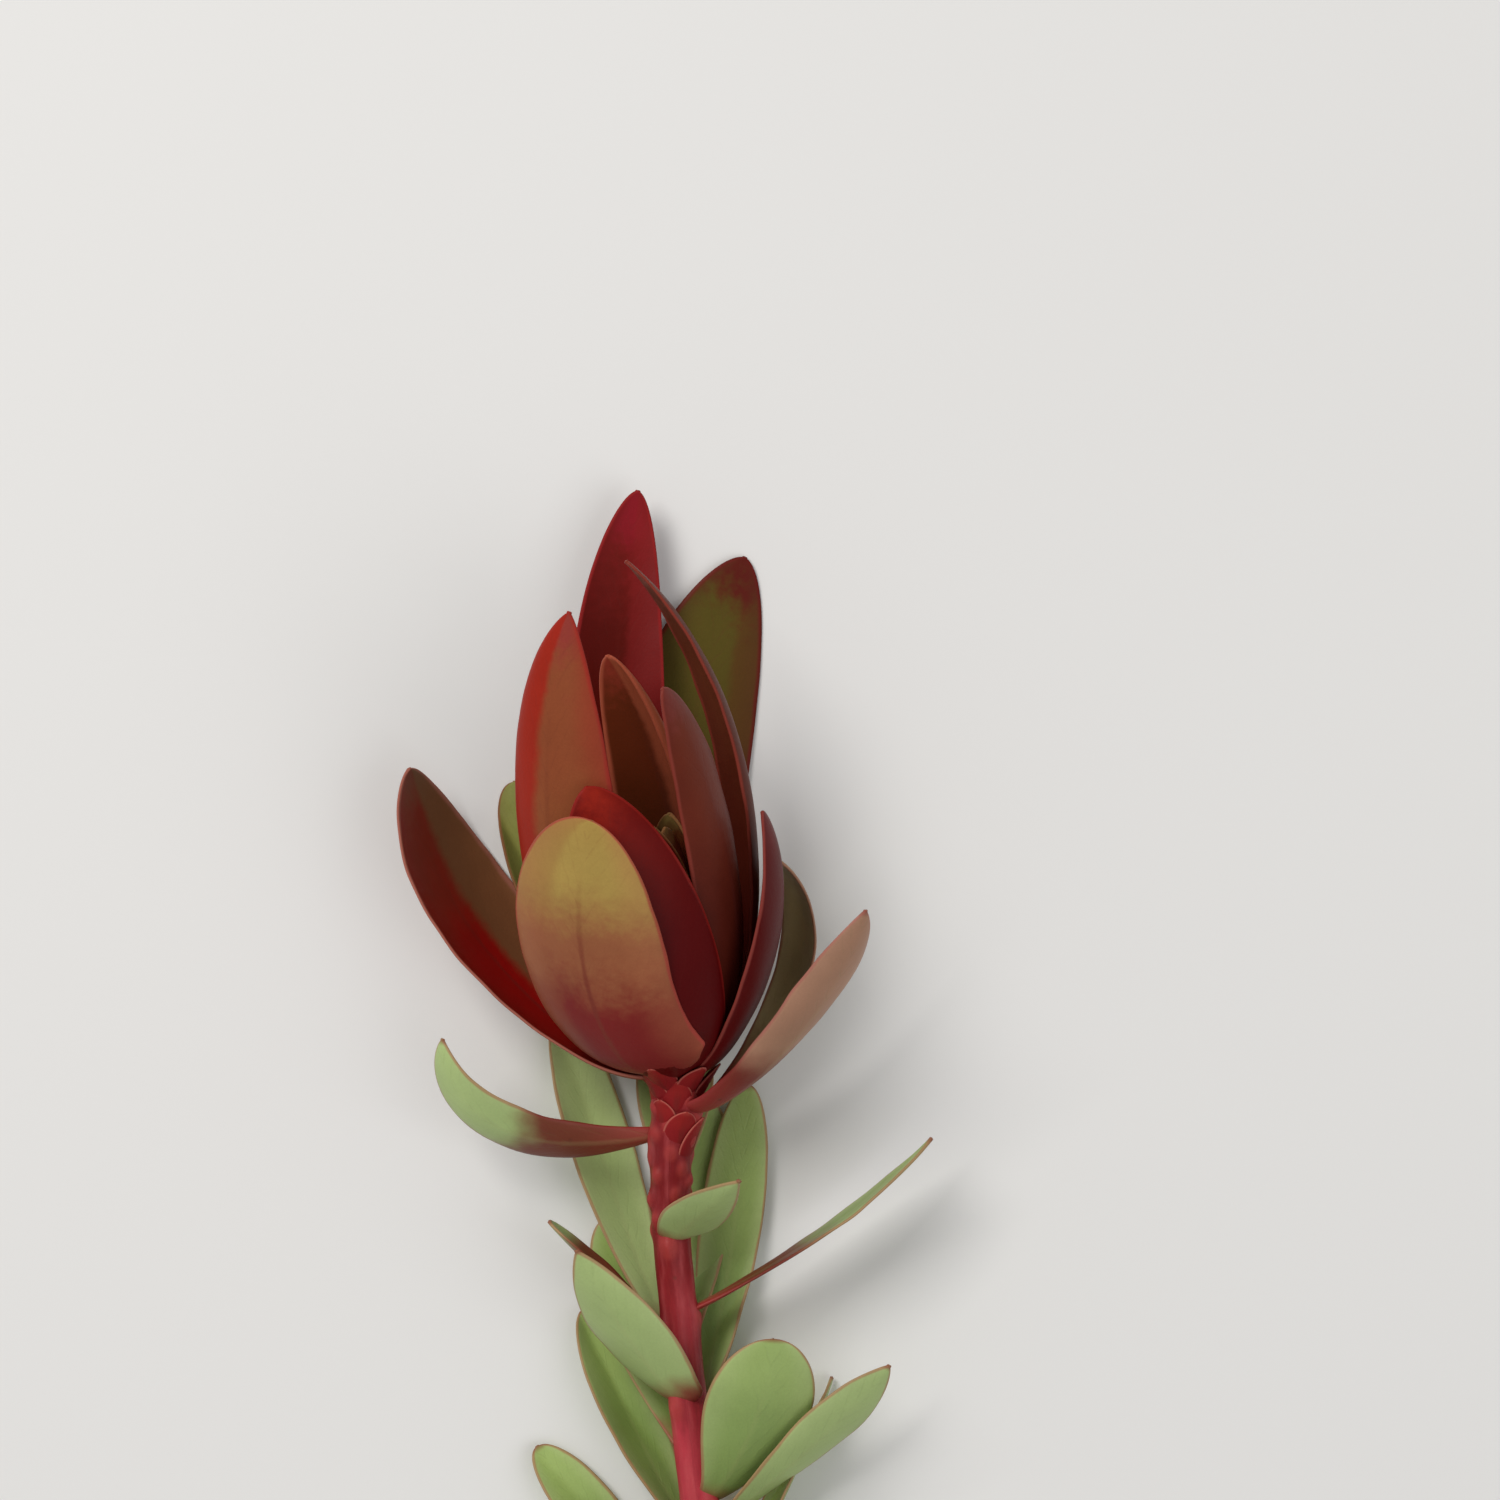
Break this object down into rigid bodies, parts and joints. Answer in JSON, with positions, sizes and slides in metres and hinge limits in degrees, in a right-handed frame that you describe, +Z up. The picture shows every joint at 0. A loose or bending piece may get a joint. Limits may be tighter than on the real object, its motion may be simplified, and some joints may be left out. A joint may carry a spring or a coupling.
{
  "type": "leucadendron stem",
  "caption": "Cut leucadendron stem lying on its side: a red woody stem with leathery leaves, ending in a cup of red and olive bracts round a clasped bud.",
  "frame": {"origin": "middle of the bottom of the whole stem's box, on the surface it lies on", "axes": "+Y along the stem from the cut end to the head, +Z up from the surface"},
  "size_m": [0.0896, 0.4382, 0.0564],
  "materials": {
    "stem_and_leaves": "leathery grey-green leaves on a smooth wine-red stem",
    "outer_bracts": "leathery, red to olive, satin",
    "inner_bracts": "leathery, deep red, satin",
    "flower_cone": "closed olive scales, matt"
  },
  "bodies": {
    "root": {"leafy_stem": "stem_and_leaves", "outer_bracts": "outer_bracts", "inner_bracts": "inner_bracts", "flower_cone": "flower_cone"}
  },
  "joints": []
}
